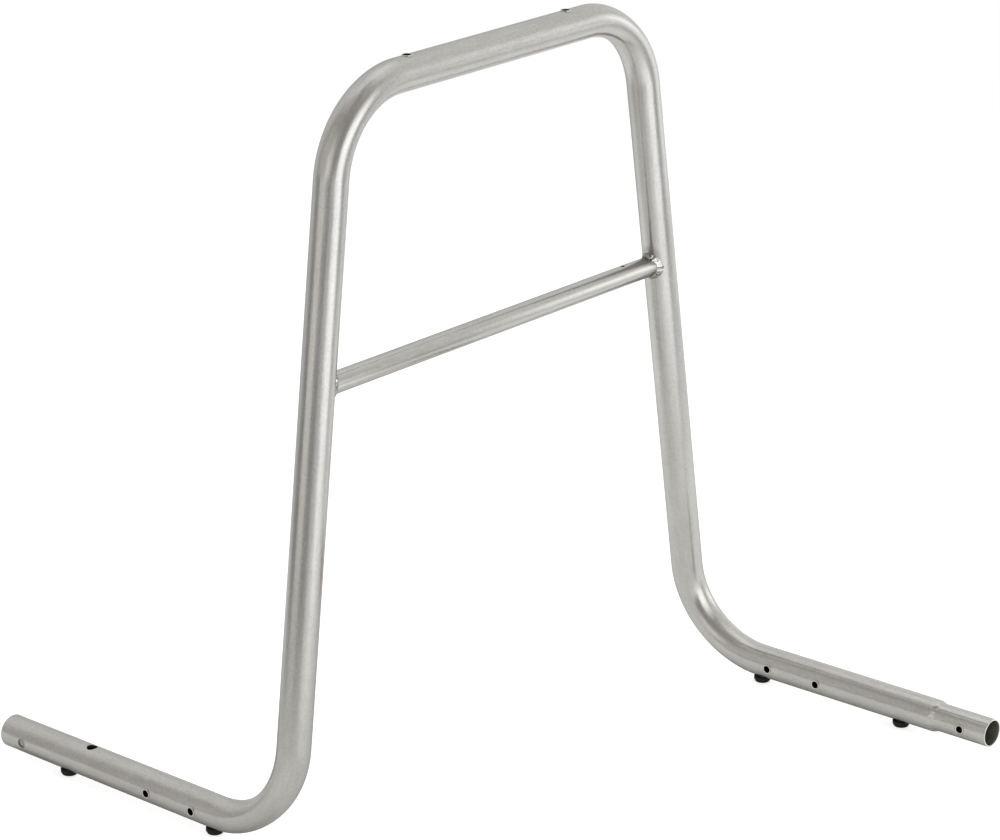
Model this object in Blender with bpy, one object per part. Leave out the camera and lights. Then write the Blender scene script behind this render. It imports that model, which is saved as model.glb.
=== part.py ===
"""Bike parking stand: one section of a modular stand made of a single bent tube.

The tube runs from an open socket end along one leg, up the first upright, over the top bar,
down the second upright and along the other leg to a swaged spigot that plugs into the socket
of the next section. A thinner crossbar is welded between the uprights. Four rubber feet screw
into rivet nuts under the legs. More rivet nuts take accessories on the legs and the top bar,
and one inside the spigot takes the screw that locks two sections together.

Units are metres and +Z is up. The origin is on the floor, in the middle of the bounding box.
X runs along the top bar, from the socket leg to the spigot leg. The socket leg points to +Y and
the spigot leg to -Y.
"""
import math

import bmesh
import bpy
from mathutils import Matrix, Vector

# Clearances
FIT_GAP = 0.0003           # between pieces that touch
SPIGOT_PLAY = 0.001        # spigot diameter below the socket's bore
BULGE_GAP = 0.0008         # between a rivet nut's bulge and the wall that it grips

# Main tube
TUBE_D = 0.040
TUBE_WALL = 0.002
BEND_R = 0.110             # to the centre line
BEND_FLATTENING = 0.11     # share of its width that the tube loses in the plane of a bend
BEND_SPREAD = 0.06         # share that it gains across that plane

# Loop and legs, between the crossings of the centre lines
TOP_SPAN = 0.513
BASE_SPAN = 0.747
LOOP_RISE = 0.850
SOCKET_LEG = 0.468
SPIGOT_LEG = 0.457

# Spigot
SWAGE_LENGTH = 0.010       # over which the tube narrows to the spigot
SPIGOT_STRAIGHT = 0.071

# Crossbar
CROSSBAR_D = 0.025
CROSSBAR_WALL = 0.0015
CROSSBAR_RISE = 0.5235     # above the legs' axis
VENT_D = 0.005             # lets the welding gas out of the crossbar
VENT_INSET = 0.0716        # from the spigot-side upright's axis
WELD_LEG = 0.0045

# Plain holes
SOCKET_HOLE_D = 0.0115
SOCKET_HOLE_INSET = 0.0375     # from the socket's open end
ANCHOR_TOP_D = 0.013           # lets a bolt head and a key through
ANCHOR_BOTTOM_D = 0.009
ANCHOR_INSET = 0.143           # from the socket's open end

# M8 rivet nuts
NUT_BARREL_D = 0.0104
NUT_BORE_D = 0.009
NUT_THREAD_D = 0.0078          # the thread is drawn plain, at its mean width
NUT_FLANGE_D = 0.0124
NUT_FLANGE_T = 0.0012
NUT_BULGE_D = 0.0136
NUT_BULGE_DEPTH = 0.0062       # lower end of the bulge, below the tube's surface
NUT_LENGTH = 0.015
NUT_THREAD_LENGTH = 0.0075
SIDE_NUT_PITCH = 0.075
SOCKET_SIDE_NUT = 0.028        # first side nut, past the end of the bend
SPIGOT_SIDE_NUT = 0.0225
TOP_NUT_PITCH = 0.271
TOP_NUT_SHIFT = -0.0085        # middle of the pair, from the middle of the top bar

# Feet
PAD_TOP_D = 0.0215
PAD_BOTTOM_D = 0.0190
PAD_SHOULDER = 0.0035          # height at which the taper ends
PAD_EDGE = 0.0015              # rounding of the lower edge
FOOT_HEIGHT = 0.008            # floor to the tube's underside
STUD_HEAD_D = 0.014
STUD_HEAD_T = 0.0016
STUD_HEAD_Z = 0.0022           # lower side of the head, above the floor
STUD_LENGTH = 0.031            # floor to the stud's tip
FLANGE_RECESS = 0.0005         # round the nut's flange, in the top of the pad
SOCKET_NEAR_FOOT = 0.009       # past the end of the bend
SPIGOT_NEAR_FOOT = 0.001
SOCKET_FAR_FOOT = 0.100        # from the socket's open end
SPIGOT_FAR_FOOT = 0.1325       # from the spigot's tip

# Facets
TUBE_SIDES = 24
BEND_STEPS = 8                 # a bend starts and ends with half a step
SWAGE_STEPS = 5
NUT_SIDES = 12
PAD_SIDES = 16
STUD_SIDES = 12
HOLE_SIDES = 16

# Sizes that follow
TUBE_R = TUBE_D / 2
BORE_R = TUBE_R - TUBE_WALL
SPIGOT_R = BORE_R - SPIGOT_PLAY / 2
CROSSBAR_R = CROSSBAR_D / 2
LEG_Z = FOOT_HEIGHT + TUBE_R
SIDE_NUT_REACH = TUBE_R + NUT_FLANGE_T
LOOP_X = (SIDE_NUT_REACH - TUBE_R) / 2
LOOP_Y = (SPIGOT_LEG - SOCKET_LEG) / 2

SOCKET_CORNER = Vector((LOOP_X - BASE_SPAN / 2, LOOP_Y, LEG_Z))
SPIGOT_CORNER = Vector((LOOP_X + BASE_SPAN / 2, LOOP_Y, LEG_Z))
TOP_SOCKET_CORNER = Vector((LOOP_X - TOP_SPAN / 2, LOOP_Y, LEG_Z + LOOP_RISE))
TOP_SPIGOT_CORNER = Vector((LOOP_X + TOP_SPAN / 2, LOOP_Y, LEG_Z + LOOP_RISE))
SOCKET_END = SOCKET_CORNER + Vector((0, SOCKET_LEG, 0))
SPIGOT_TIP = SPIGOT_CORNER - Vector((0, SPIGOT_LEG, 0))

X_AXIS = Vector((1, 0, 0))
Y_AXIS = Vector((0, 1, 0))
Z_AXIS = Vector((0, 0, 1))


def clear_scene():
    """Remove every object that the file starts with."""
    for item in list(bpy.data.objects):
        bpy.data.objects.remove(item, do_unlink=True)


def make_material(name, colour, roughness, metallic):
    """A plain Principled material."""
    material = bpy.data.materials.new(name)
    material.use_nodes = True
    shader = material.node_tree.nodes["Principled BSDF"]
    shader.inputs["Base Color"].default_value = (*colour, 1)
    shader.inputs["Roughness"].default_value = roughness
    shader.inputs["Metallic"].default_value = metallic
    return material


def add_object(name, mesh_builder, material, smooth_angle=40):
    """Turn a bmesh into a named object with its material, shaded smooth but for sharp edges."""
    mesh = bpy.data.meshes.new(name)
    bmesh.ops.recalc_face_normals(mesh_builder, faces=mesh_builder.faces)
    mesh_builder.to_mesh(mesh)
    mesh_builder.free()
    mesh.materials.append(material)
    mesh.shade_smooth()
    mesh.set_sharp_from_angle(angle=math.radians(smooth_angle))
    item = bpy.data.objects.new(name, mesh)
    bpy.context.collection.objects.link(item)
    return item


def copy_object(source, name):
    """A copy of an object that shares its mesh."""
    item = source.copy()
    item.name = name
    bpy.context.collection.objects.link(item)
    return item


def skin_rings(rings, closed):
    """Skin a stack of equal rings. Closed joins the last to the first, else the ends are filled."""
    builder = bmesh.new()
    rows = [[builder.verts.new(point) for point in ring] for ring in rings]
    following = rows[1:] + rows[:1] if closed else rows[1:]
    for row, after in zip(rows, following):
        for i in range(len(row)):
            j = (i + 1) % len(row)
            builder.faces.new((row[i], row[j], after[j], after[i]))
    if not closed:
        builder.faces.new(rows[0])
        builder.faces.new(rows[-1])
    return builder


def turn_profile(profile, sides):
    """Turn a profile of (radius, height) points, which starts and ends on the Z axis, into a body."""
    builder = bmesh.new()
    points = [builder.verts.new((radius, 0, height)) for radius, height in profile]
    edges = [builder.edges.new(pair) for pair in zip(points, points[1:])]
    bmesh.ops.spin(builder, geom=points + edges, cent=(0, 0, 0), axis=(0, 0, 1),
                   angle=2 * math.pi, steps=sides, use_merge=True)
    bmesh.ops.remove_doubles(builder, verts=builder.verts, dist=1e-6)
    return builder


def circle(sides):
    """Unit directions round a circle."""
    turns = [2 * math.pi * i / sides for i in range(sides)]
    return [(math.cos(turn), math.sin(turn)) for turn in turns]


def ease(share):
    """Smooth step from 0 to 1."""
    return share * share * (3 - 2 * share)


def bend_length(before, corner, after):
    """Length from a corner to where its bend starts on the straight tube."""
    return BEND_R / math.tan((before - corner).angle(after - corner) / 2)


LEG_BEND = bend_length(SOCKET_END, SOCKET_CORNER, TOP_SOCKET_CORNER)


class Station:
    """One cross-section of the main tube: its place, its two cross directions and its shape."""

    def __init__(self, centre, first, second, radius=TUBE_R, inward=None, pinch=0.0):
        self.centre = centre
        self.first = first
        self.second = second
        self.radius = radius
        self.inward = inward
        self.pinch = pinch

    def ring(self, inset):
        """Points of the cross-section, a wall's thickness inside the surface if asked."""
        points = []
        for across, up in circle(TUBE_SIDES):
            offset = (self.first * across + self.second * up) * (self.radius - inset)
            if self.inward:
                radial = self.inward * offset.dot(self.inward)
                sideways = offset - radial
                offset = (radial * (1 - BEND_FLATTENING * self.pinch)
                          + sideways * (1 + BEND_SPREAD * self.pinch))
            points.append(self.centre + offset)
        return points


def bend_stations(before, corner, after, first, second):
    """Cross-sections round one bend, pinched most in its middle."""
    into = (corner - before).normalized()
    out = (after - corner).normalized()
    turn = into.angle(out)
    axis = into.cross(out).normalized()
    start = corner - into * bend_length(before, corner, after)
    inward = axis.cross(into)
    pivot = start + inward * BEND_R
    middles = [(step + 0.5) / BEND_STEPS for step in range(BEND_STEPS)]
    stations = []
    for share in [0, *middles, 1]:
        rotation = Matrix.Rotation(turn * share, 3, axis)
        stations.append(Station(pivot + rotation @ (start - pivot), rotation @ first,
                                rotation @ second, inward=rotation @ inward,
                                pinch=math.sin(math.pi * share) ** 2))
    return stations


def tube_stations():
    """Cross-sections of the whole tube, from the socket's end to the spigot's tip."""
    corners = [SOCKET_END, SOCKET_CORNER, TOP_SOCKET_CORNER, TOP_SPIGOT_CORNER,
               SPIGOT_CORNER, SPIGOT_TIP]
    stations = [Station(SOCKET_END, X_AXIS, Z_AXIS)]
    for before, corner, after in zip(corners, corners[1:], corners[2:]):
        stations += bend_stations(before, corner, after, stations[-1].first, stations[-1].second)
    first, second = stations[-1].first, stations[-1].second
    spigot_start = SPIGOT_TIP + Y_AXIS * SPIGOT_STRAIGHT
    for step in range(SWAGE_STEPS + 1):
        share = step / SWAGE_STEPS
        centre = spigot_start + Y_AXIS * SWAGE_LENGTH * (1 - share)
        radius = TUBE_R + (SPIGOT_R - TUBE_R) * ease(share)
        stations.append(Station(centre, first, second, radius))
    stations.append(Station(SPIGOT_TIP, first, second, SPIGOT_R))
    return stations


def make_frame_tube(material):
    """The bent tube, its outer skin and its bore joined at both open ends."""
    stations = tube_stations()
    outer = [station.ring(0) for station in stations]
    bore = [station.ring(TUBE_WALL) for station in reversed(stations)]
    return add_object("frame_tube", skin_rings(outer + bore, closed=True), material)


def upright_face(side, across, height, radius):
    """X where a line along X meets a cylinder of this radius round an upright's axis.

    side is -1 at the socket and 1 at the spigot. across is measured from the loop's plane and
    height from the legs' axis. The side of the upright that faces the other one is met.
    """
    lean = Vector((side * (TOP_SPAN - BASE_SPAN) / 2, LOOP_RISE)).normalized()
    reach = math.sqrt(radius ** 2 - across ** 2)
    foot_x = LOOP_X + side * BASE_SPAN / 2
    return foot_x + (height * lean.x - side * reach) / lean.y


def crossbar_point(side, radius, across, up, upright_radius, inset=0.0):
    """A point on the crossbar's skin or bore, or on its weld, at an upright."""
    y = radius * across
    height = CROSSBAR_RISE + radius * up
    x = upright_face(side, y, height, upright_radius) - side * inset
    return Vector((x, LOOP_Y + y, LEG_Z + height))


def make_crossbar(material):
    """The crossbar, its ends cut to the shape of the uprights."""
    bore_r = CROSSBAR_R - CROSSBAR_WALL
    rings = []
    for side, radius in ((-1, CROSSBAR_R), (1, CROSSBAR_R), (1, bore_r), (-1, bore_r)):
        rings.append([crossbar_point(side, radius, across, up, TUBE_R + FIT_GAP)
                      for across, up in circle(TUBE_SIDES)])
    return add_object("crossbar", skin_rings(rings, closed=True), material)


def make_weld(name, side, material):
    """A rounded fillet weld round one end of the crossbar."""
    inner = CROSSBAR_R + FIT_GAP
    surface = TUBE_R + FIT_GAP
    face_angles = [math.radians(angle) for angle in (0, 30, 60, 90)]
    rings = [[crossbar_point(side, inner, across, up, surface)
              for across, up in circle(TUBE_SIDES)]]
    for angle in face_angles:
        ring = []
        for across, up in circle(TUBE_SIDES):
            spread = math.sqrt(1 - (inner * across / surface) ** 2)
            radius = inner + WELD_LEG * math.sin(angle) * spread
            ring.append(crossbar_point(side, radius, across, up, surface,
                                       WELD_LEG * math.cos(angle)))
        rings.append(ring)
    return add_object(name, skin_rings(rings, closed=True), material)


def flat_ring(radius, height, sides):
    """A level ring round Z."""
    return [Vector((radius * x, radius * y, height)) for x, y in circle(sides)]


def draped_ring(radius, tube_radius, sides):
    """A ring round Z laid on a tube of this radius, whose axis is Y."""
    return [Vector((radius * x, radius * y, math.sqrt(tube_radius ** 2 - (radius * x) ** 2)))
            for x, y in circle(sides)]


def nut_body_rings(surface_r):
    """A rivet nut's rings below its flange, from the neck to the bore's mouth."""
    barrel = NUT_BARREL_D / 2
    bulge = NUT_BULGE_D / 2
    thread = NUT_THREAD_D / 2
    grip = surface_r - TUBE_WALL - BULGE_GAP
    bulge_end = surface_r - NUT_BULGE_DEPTH
    end = surface_r - NUT_LENGTH
    return [draped_ring(barrel, grip, NUT_SIDES),
            draped_ring(bulge, grip, NUT_SIDES),
            flat_ring(bulge, bulge_end, NUT_SIDES),
            flat_ring(barrel, bulge_end - (bulge - barrel), NUT_SIDES),
            flat_ring(barrel, end, NUT_SIDES),
            flat_ring(thread, end, NUT_SIDES),
            flat_ring(thread, end + NUT_THREAD_LENGTH, NUT_SIDES),
            flat_ring(NUT_BORE_D / 2, end + NUT_THREAD_LENGTH, NUT_SIDES)]


def make_flanged_nut(name, material):
    """A rivet nut with a flat-faced flange on the tube. Origin on the tube's axis, +Z outwards."""
    face = TUBE_R + NUT_FLANGE_T
    rings = [flat_ring(NUT_BORE_D / 2, face, NUT_SIDES),
             flat_ring(NUT_FLANGE_D / 2, face, NUT_SIDES),
             draped_ring(NUT_FLANGE_D / 2, TUBE_R + FIT_GAP, NUT_SIDES),
             draped_ring(NUT_BARREL_D / 2, TUBE_R + FIT_GAP, NUT_SIDES)]
    return add_object(name, skin_rings(rings + nut_body_rings(TUBE_R), closed=True), material, 30)


def make_flush_nut(name, material):
    """A rivet nut with a countersunk head, level with the spigot's surface."""
    head = (NUT_FLANGE_D - NUT_BARREL_D) / 2
    rings = [draped_ring(NUT_BORE_D / 2, SPIGOT_R, NUT_SIDES),
             draped_ring(NUT_FLANGE_D / 2, SPIGOT_R, NUT_SIDES),
             draped_ring(NUT_BARREL_D / 2, SPIGOT_R - head, NUT_SIDES)]
    return add_object(name, skin_rings(rings + nut_body_rings(SPIGOT_R), closed=True), material, 30)


def place(item, on_axis, outward, along):
    """Set an object on a tube's axis, its +Z outwards and its Y along the tube."""
    rotation = Matrix((outward.cross(along) * -1, along, outward)).transposed()
    item.matrix_world = Matrix.Translation(on_axis) @ rotation.to_4x4()


def cut_hole(target, name, rings, on_axis, outward, along):
    """Cut a hole in a tube with a hidden plug made of rings."""
    cutter = add_object(name, skin_rings(rings, closed=False), target.data.materials[0])
    place(cutter, on_axis, outward, along)
    cutter.hide_render = True
    cutter.display_type = "WIRE"
    modifier = target.modifiers.new(name, "BOOLEAN")
    modifier.operation = "DIFFERENCE"
    modifier.solver = "EXACT"
    modifier.object = cutter


def straight_plug(diameter, surface_r):
    """Rings of a plain drill through one wall of a tube."""
    return [flat_ring(diameter / 2, surface_r / 3, HOLE_SIDES),
            flat_ring(diameter / 2, surface_r + TUBE_WALL, HOLE_SIDES)]


def countersunk_plug():
    """Rings of the spigot nut's hole: its head's cone and its barrel, with the fitting gap."""
    head = (NUT_FLANGE_D - NUT_BARREL_D) / 2
    barrel = NUT_BARREL_D / 2 + FIT_GAP
    flange = NUT_FLANGE_D / 2 + FIT_GAP
    return [flat_ring(barrel, SPIGOT_R / 3, HOLE_SIDES),
            draped_ring(barrel, SPIGOT_R - head - FIT_GAP, HOLE_SIDES),
            draped_ring(flange, SPIGOT_R - FIT_GAP, HOLE_SIDES),
            flat_ring(flange, SPIGOT_R + TUBE_WALL, HOLE_SIDES)]


def foot_spots():
    """Points on the legs' axes above the four feet, from the socket's end to the spigot's."""
    return [SOCKET_END - Y_AXIS * SOCKET_FAR_FOOT,
            SOCKET_CORNER + Y_AXIS * (LEG_BEND + SOCKET_NEAR_FOOT),
            SPIGOT_CORNER - Y_AXIS * (LEG_BEND + SPIGOT_NEAR_FOOT),
            SPIGOT_TIP + Y_AXIS * SPIGOT_FAR_FOOT]


def side_nut_spots():
    """Points on the legs' axes beside the four side nuts."""
    spots = []
    for corner, outward, first in ((SOCKET_CORNER, 1, SOCKET_SIDE_NUT),
                                   (SPIGOT_CORNER, -1, SPIGOT_SIDE_NUT)):
        for place_in_pair in range(2):
            reach = LEG_BEND + first + place_in_pair * SIDE_NUT_PITCH
            spots.append(corner + Y_AXIS * outward * reach)
    return spots


def top_nut_spots():
    """Points on the top bar's axis below the two top nuts."""
    middle = (TOP_SOCKET_CORNER + TOP_SPIGOT_CORNER) / 2 + X_AXIS * TOP_NUT_SHIFT
    return [middle - X_AXIS * TOP_NUT_PITCH / 2, middle + X_AXIS * TOP_NUT_PITCH / 2]


def spigot_stop():
    """Distance from the spigot's tip to where the next section's socket meets the swage."""
    narrowing = (TUBE_R - BORE_R) / (TUBE_R - SPIGOT_R)
    low, high = 0.0, 1.0
    for _ in range(40):
        middle = (low + high) / 2
        low, high = (middle, high) if ease(middle) < narrowing else (low, middle)
    return SPIGOT_STRAIGHT + SWAGE_LENGTH * (1 - low)


def make_nuts(tube, material):
    """All rivet nuts and the holes that they are set in."""
    hole = straight_plug(NUT_BARREL_D + 2 * FIT_GAP, TUBE_R)
    groups = [("foot_nut", foot_spots(), -Z_AXIS, Y_AXIS),
              ("side_nut", side_nut_spots(), -X_AXIS, Y_AXIS),
              ("top_nut", top_nut_spots(), Z_AXIS, X_AXIS)]
    first_nut = None
    for kind, spots, outward, along in groups:
        for number, spot in enumerate(spots, 1):
            name = f"{kind}_{number}"
            if first_nut is None:
                first_nut = nut = make_flanged_nut(name, material)
            else:
                nut = copy_object(first_nut, name)
            place(nut, spot, outward, along)
            cut_hole(tube, f"hole_for_{name}", hole, spot, outward, along)
    spigot_spot = SPIGOT_TIP + Y_AXIS * (spigot_stop() - SOCKET_HOLE_INSET)
    place(make_flush_nut("spigot_nut", material), spigot_spot, -X_AXIS, Y_AXIS)
    cut_hole(tube, "hole_for_spigot_nut", countersunk_plug(), spigot_spot, -X_AXIS, Y_AXIS)


def cut_plain_holes(tube, crossbar):
    """The socket's hole, the two anchor holes above each other and the crossbar's vent."""
    cut_hole(tube, "hole_in_socket", straight_plug(SOCKET_HOLE_D, TUBE_R),
             SOCKET_END - Y_AXIS * SOCKET_HOLE_INSET, -X_AXIS, Y_AXIS)
    anchor = SOCKET_END - Y_AXIS * ANCHOR_INSET
    cut_hole(tube, "anchor_hole_top", straight_plug(ANCHOR_TOP_D, TUBE_R), anchor, Z_AXIS, Y_AXIS)
    cut_hole(tube, "anchor_hole_bottom", straight_plug(ANCHOR_BOTTOM_D, TUBE_R),
             anchor, -Z_AXIS, Y_AXIS)
    lean = (BASE_SPAN - TOP_SPAN) / 2 * CROSSBAR_RISE / LOOP_RISE
    vent = Vector((SPIGOT_CORNER.x - lean - VENT_INSET, LOOP_Y, LEG_Z + CROSSBAR_RISE))
    cut_hole(crossbar, "vent_hole", straight_plug(VENT_D, CROSSBAR_R), vent, Z_AXIS, X_AXIS)


def make_pad(name, material):
    """A tapered rubber pad, moulded round the stud's head and recessed for the nut's flange."""
    top = FOOT_HEIGHT - FIT_GAP
    recess_floor = FOOT_HEIGHT - NUT_FLANGE_T - FLANGE_RECESS
    recess_r = NUT_FLANGE_D / 2 + FLANGE_RECESS
    shank_r = NUT_THREAD_D / 2
    head_r = STUD_HEAD_D / 2 + FIT_GAP
    head_top = STUD_HEAD_Z + STUD_HEAD_T + FIT_GAP
    head_bottom = STUD_HEAD_Z - FIT_GAP
    bottom_r = PAD_BOTTOM_D / 2
    profile = [(0, 0), (bottom_r - PAD_EDGE, 0), (bottom_r, PAD_EDGE),
               (PAD_TOP_D / 2, PAD_SHOULDER), (PAD_TOP_D / 2, top),
               (recess_r, top), (recess_r, recess_floor), (shank_r, recess_floor),
               (shank_r, head_top), (head_r, head_top), (head_r, head_bottom), (0, head_bottom)]
    return add_object(name, turn_profile(profile, PAD_SIDES), material, 30)


def make_stud(name, material):
    """A threaded stud with a flat head, drawn plain at the thread's mean width."""
    shank_r = NUT_THREAD_D / 2 - FIT_GAP
    head_top = STUD_HEAD_Z + STUD_HEAD_T
    tip_bevel = shank_r / 4
    profile = [(0, STUD_HEAD_Z), (STUD_HEAD_D / 2, STUD_HEAD_Z), (STUD_HEAD_D / 2, head_top),
               (shank_r, head_top), (shank_r, STUD_LENGTH - tip_bevel),
               (shank_r - tip_bevel, STUD_LENGTH), (0, STUD_LENGTH)]
    return add_object(name, turn_profile(profile, STUD_SIDES), material, 30)


def make_feet(rubber, steel):
    """Four feet. Each pad and stud hang from an empty that stands on the foot's own axis."""
    first_pad = first_stud = None
    for number, spot in enumerate(foot_spots(), 1):
        if first_pad is None:
            first_pad = pad = make_pad(f"foot_pad_{number}", rubber)
            first_stud = stud = make_stud(f"foot_stud_{number}", steel)
        else:
            pad = copy_object(first_pad, f"foot_pad_{number}")
            stud = copy_object(first_stud, f"foot_stud_{number}")
        axis = bpy.data.objects.new(f"foot_axis_{number}", None)
        bpy.context.collection.objects.link(axis)
        axis.location = (spot.x, spot.y, 0)
        pad.parent = stud.parent = axis


def main():
    clear_scene()
    tube_metal = make_material("brushed_tube", (0.50, 0.49, 0.46), 0.36, 1.0)
    weld_metal = make_material("weld_metal", (0.62, 0.61, 0.58), 0.25, 1.0)
    plated_steel = make_material("plated_steel", (0.55, 0.55, 0.53), 0.30, 1.0)
    rubber = make_material("black_rubber", (0.02, 0.02, 0.02), 0.70, 0.0)
    tube = make_frame_tube(tube_metal)
    crossbar = make_crossbar(tube_metal)
    make_weld("weld_socket_side", -1, weld_metal)
    make_weld("weld_spigot_side", 1, weld_metal)
    make_nuts(tube, plated_steel)
    cut_plain_holes(tube, crossbar)
    make_feet(rubber, plated_steel)


main()
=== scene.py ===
"""Looks of one section of a modular bike parking stand, bent from a single stainless tube.

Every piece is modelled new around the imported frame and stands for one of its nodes. The long tube
is made as it would be in a workshop: drawn straight, swaged at one end, drilled, and only then bent.
Units are metres, +Z is up and the floor is at Z 0.
"""

import math

import bpy
from mathutils import Matrix, Vector, noise


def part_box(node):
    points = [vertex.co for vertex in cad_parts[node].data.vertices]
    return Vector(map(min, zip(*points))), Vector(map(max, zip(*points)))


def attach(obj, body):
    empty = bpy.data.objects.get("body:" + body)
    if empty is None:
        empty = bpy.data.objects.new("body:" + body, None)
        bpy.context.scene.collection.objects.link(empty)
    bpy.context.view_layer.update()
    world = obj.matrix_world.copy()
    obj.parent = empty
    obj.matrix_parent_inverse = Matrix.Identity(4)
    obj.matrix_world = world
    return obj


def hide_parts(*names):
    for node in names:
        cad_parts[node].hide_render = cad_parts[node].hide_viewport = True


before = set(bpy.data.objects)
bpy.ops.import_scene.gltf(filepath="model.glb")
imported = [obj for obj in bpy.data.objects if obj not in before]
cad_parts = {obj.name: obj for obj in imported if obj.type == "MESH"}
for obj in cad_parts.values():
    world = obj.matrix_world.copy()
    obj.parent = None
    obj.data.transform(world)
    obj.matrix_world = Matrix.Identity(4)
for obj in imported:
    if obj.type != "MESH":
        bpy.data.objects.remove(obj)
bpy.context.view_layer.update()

X_AXIS = Vector((1, 0, 0))
Y_AXIS = Vector((0, 1, 0))
Z_AXIS = Vector((0, 0, 1))

# Main tube
TUBE_R = 0.020
TUBE_WALL = 0.002
BEND_R = 0.110
BEND_FLATTENING = 0.11     # share of its width that the tube loses in the plane of a bend
BEND_SPREAD = 0.06         # share that it gains across that plane
TOP_SPAN = 0.513           # between the crossings of the centre lines
SPIGOT_R = 0.0175
SWAGE_LENGTH = 0.010
SPIGOT_STRAIGHT = 0.071
RIM_EDGE = 0.0007          # rounding of the tube's cut ends

# Crossbar and its welds
CROSSBAR_R = 0.0125
CROSSBAR_WALL = 0.0015
FIT_GAP = 0.0003
WELD_LEG = 0.0045
VENT_D = 0.005
VENT_CHAMFER = 0.0002
VENT_INSET = 0.0716        # from the spigot-side upright's axis

# Plain holes
SOCKET_HOLE_D = 0.0115
SOCKET_HOLE_CHAMFER = 0.0003
SOCKET_HOLE_INSET = 0.0375
ANCHOR_TOP_D = 0.013
ANCHOR_TOP_CHAMFER = 0.0004
ANCHOR_BOTTOM_D = 0.009
ANCHOR_BOTTOM_CHAMFER = 0.0003
ANCHOR_INSET = 0.143

# M8 rivet nuts and studs
NUT_HOLE_D = 0.011
NUT_FLANGE_R = 0.0062
NUT_FLANGE_T = 0.0012      # in the frame
NUT_HEAD_T = 0.0006        # as it looks, pressed down at its rim
NUT_SINK = 0.000075        # how far a head is pressed into the tube
NUT_BARREL_R = 0.0052
NUT_BULGE_R = 0.0068
NUT_BULGE_DEPTH = 0.0062
NUT_MOUTH_R = 0.0045
NUT_LENGTH = 0.015
NUT_THREAD_LENGTH = 0.0075
THREAD_CREST_R = 0.00382   # of the stud
THREAD_ROOT_R = 0.0033
THREAD_PITCH = 0.00125
THREAD_TOOTH_W = 0.9       # width of a thread's tooth, as a share of its pitch
THREAD_MERGE = 0.000001    # points of a thread that are closer than this become one
STUD_HEAD_R = 0.007
NUT_EDGE = 0.0003
NUT_MOUTH_BEVEL = 0.0004
NUT_THREAD_R = 0.0042
NUT_CREST_R = 0.00387      # clear of the stud's crests

# Weld beads
WELD_MIDDLE = 0.3          # middle of a bead's section, as a share of its leg
WELD_SINK = 0.00015        # how far a bead reaches into the tubes
WELD_CROWN = 0.25
WELD_CORNERS = 7           # higher is a sharper section
WELD_WANDER = 0.34
WELD_RIPPLES = 34
WELD_RIPPLE_H = 0.0005
WELD_SKIN = 0.7            # how far up a ripple the bead's plain skin would be
WELD_LUMPS = 0.9           # height of the bead's own lumps, as a share of a ripple's
WELD_BOW = 0.55
CRATER_R = 0.0016
CRATER_H = 0.0006
CRATER_RING = 4            # higher is a narrower ring round the crater
CRATER_DIP = 3             # higher is a narrower dip inside the ring
CRATER_DEPTH = 1.4         # of the dip, as a share of the ring's height
GLINT_EDGE = 0.08        # radians over which a bead goes from dull to polished, with its painted highlight

# Feet
PAD_TOP_R = 0.01075
PAD_BOTTOM_R = 0.0095
PAD_SHOULDER = 0.0035
PAD_EDGE = 0.0015
PAD_TOP_EDGE = 0.0006
PAD_TOP = 0.0077
RECESS_R = 0.0067
RECESS_FLOOR = 0.0063
SHANK_HOLE_R = 0.0039
STUD_HEAD_Z = 0.0022
STUD_HEAD_TOP = 0.0038
STUD_TIP = 0.031
STUD_EDGE = 0.0005

# Where each bead's crater is, and from where to where it was polished and a highlight is painted, in
# radians round the crossbar
SOCKET_CRATER = 2.25
SOCKET_BRUSHED_GLINTS = [(2.5, 2.68), (2.82, 2.94)]
SPIGOT_CRATER = 2.10
SPIGOT_BRUSHED_GLINTS = [(2.25, 3.1), (3.2, 3.45)]
SOCKET_HALO = 0.35         # strength of the heat tint and painted shade over each weld
SPIGOT_HALO = 0.6
HALO_RISE = Vector((-0.003, -0.003, 0.014))     # of the middle of the tint and shade over the weld's
HALO_REACH = (0.017, 0.008)                     # how far out it begins, and where it is full

# Score that the swaging die left along the spigot: how far it is above the nuts' side, its width
DIE_MARK_RISE = math.radians(56.5)
DIE_MARK_W = 0.0009

# Colours
TUBE_LIGHT = (0.555, 0.545, 0.529)
TUBE_DARK = (0.505, 0.494, 0.476)
# Heat tint at the welds, with painted shade above them
HEAT_TINT_AND_SHADE = (0.30, 0.29, 0.24)
# Inside of the tube: a duller mill finish, darkened further as painted shade
BORE_METAL_AND_SHADE = (0.36, 0.35, 0.31)
# Painted shade on the walls of the holes
HOLE_WALL_SHADE = (0.13, 0.127, 0.12)
# Painted highlight on the tube's cut rims
RIM_HIGHLIGHT = (0.92, 0.91, 0.89)
# Painted shade inside the nuts' bores
NUT_BORE_SHADE = (0.03, 0.029, 0.026)
NUT_PLATE = (0.50, 0.49, 0.465)
# Painted highlight on the lips of the nuts' mouths
NUT_LIP_HIGHLIGHT = (0.85, 0.84, 0.82)
# Polished weld metal, lightened further as a painted highlight
WELD_BRUSHED_GLINT = (0.90, 0.895, 0.88)
WELD_DULL = (0.50, 0.49, 0.455)
# Dark of the weld's pits, and painted shade between its ripples
WELD_DARK = (0.07, 0.068, 0.06)
RUBBER_BLACK = (0.007, 0.006, 0.0055)
RUBBER_DUST = (0.024, 0.022, 0.020)
TUBE_ROUGHNESS = 0.22
TUBE_EDGE_LIGHT = (0.64, 0.64, 0.64, 1)     # share of grazing light that the metal sends back

# Depths of the finishes' relief
TUBE_WAVES_H = 0.00013
TUBE_GRAIN_H = 0.00006
SWAGE_DENTS_H = 0.003
DIE_MARK_DEPTH = 0.08      # as a share of the dents'
WELD_PITS_H = 0.0003
PLATING_GRAIN_H = 0.00001
RUBBER_PORES_H = 0.00005

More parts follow.
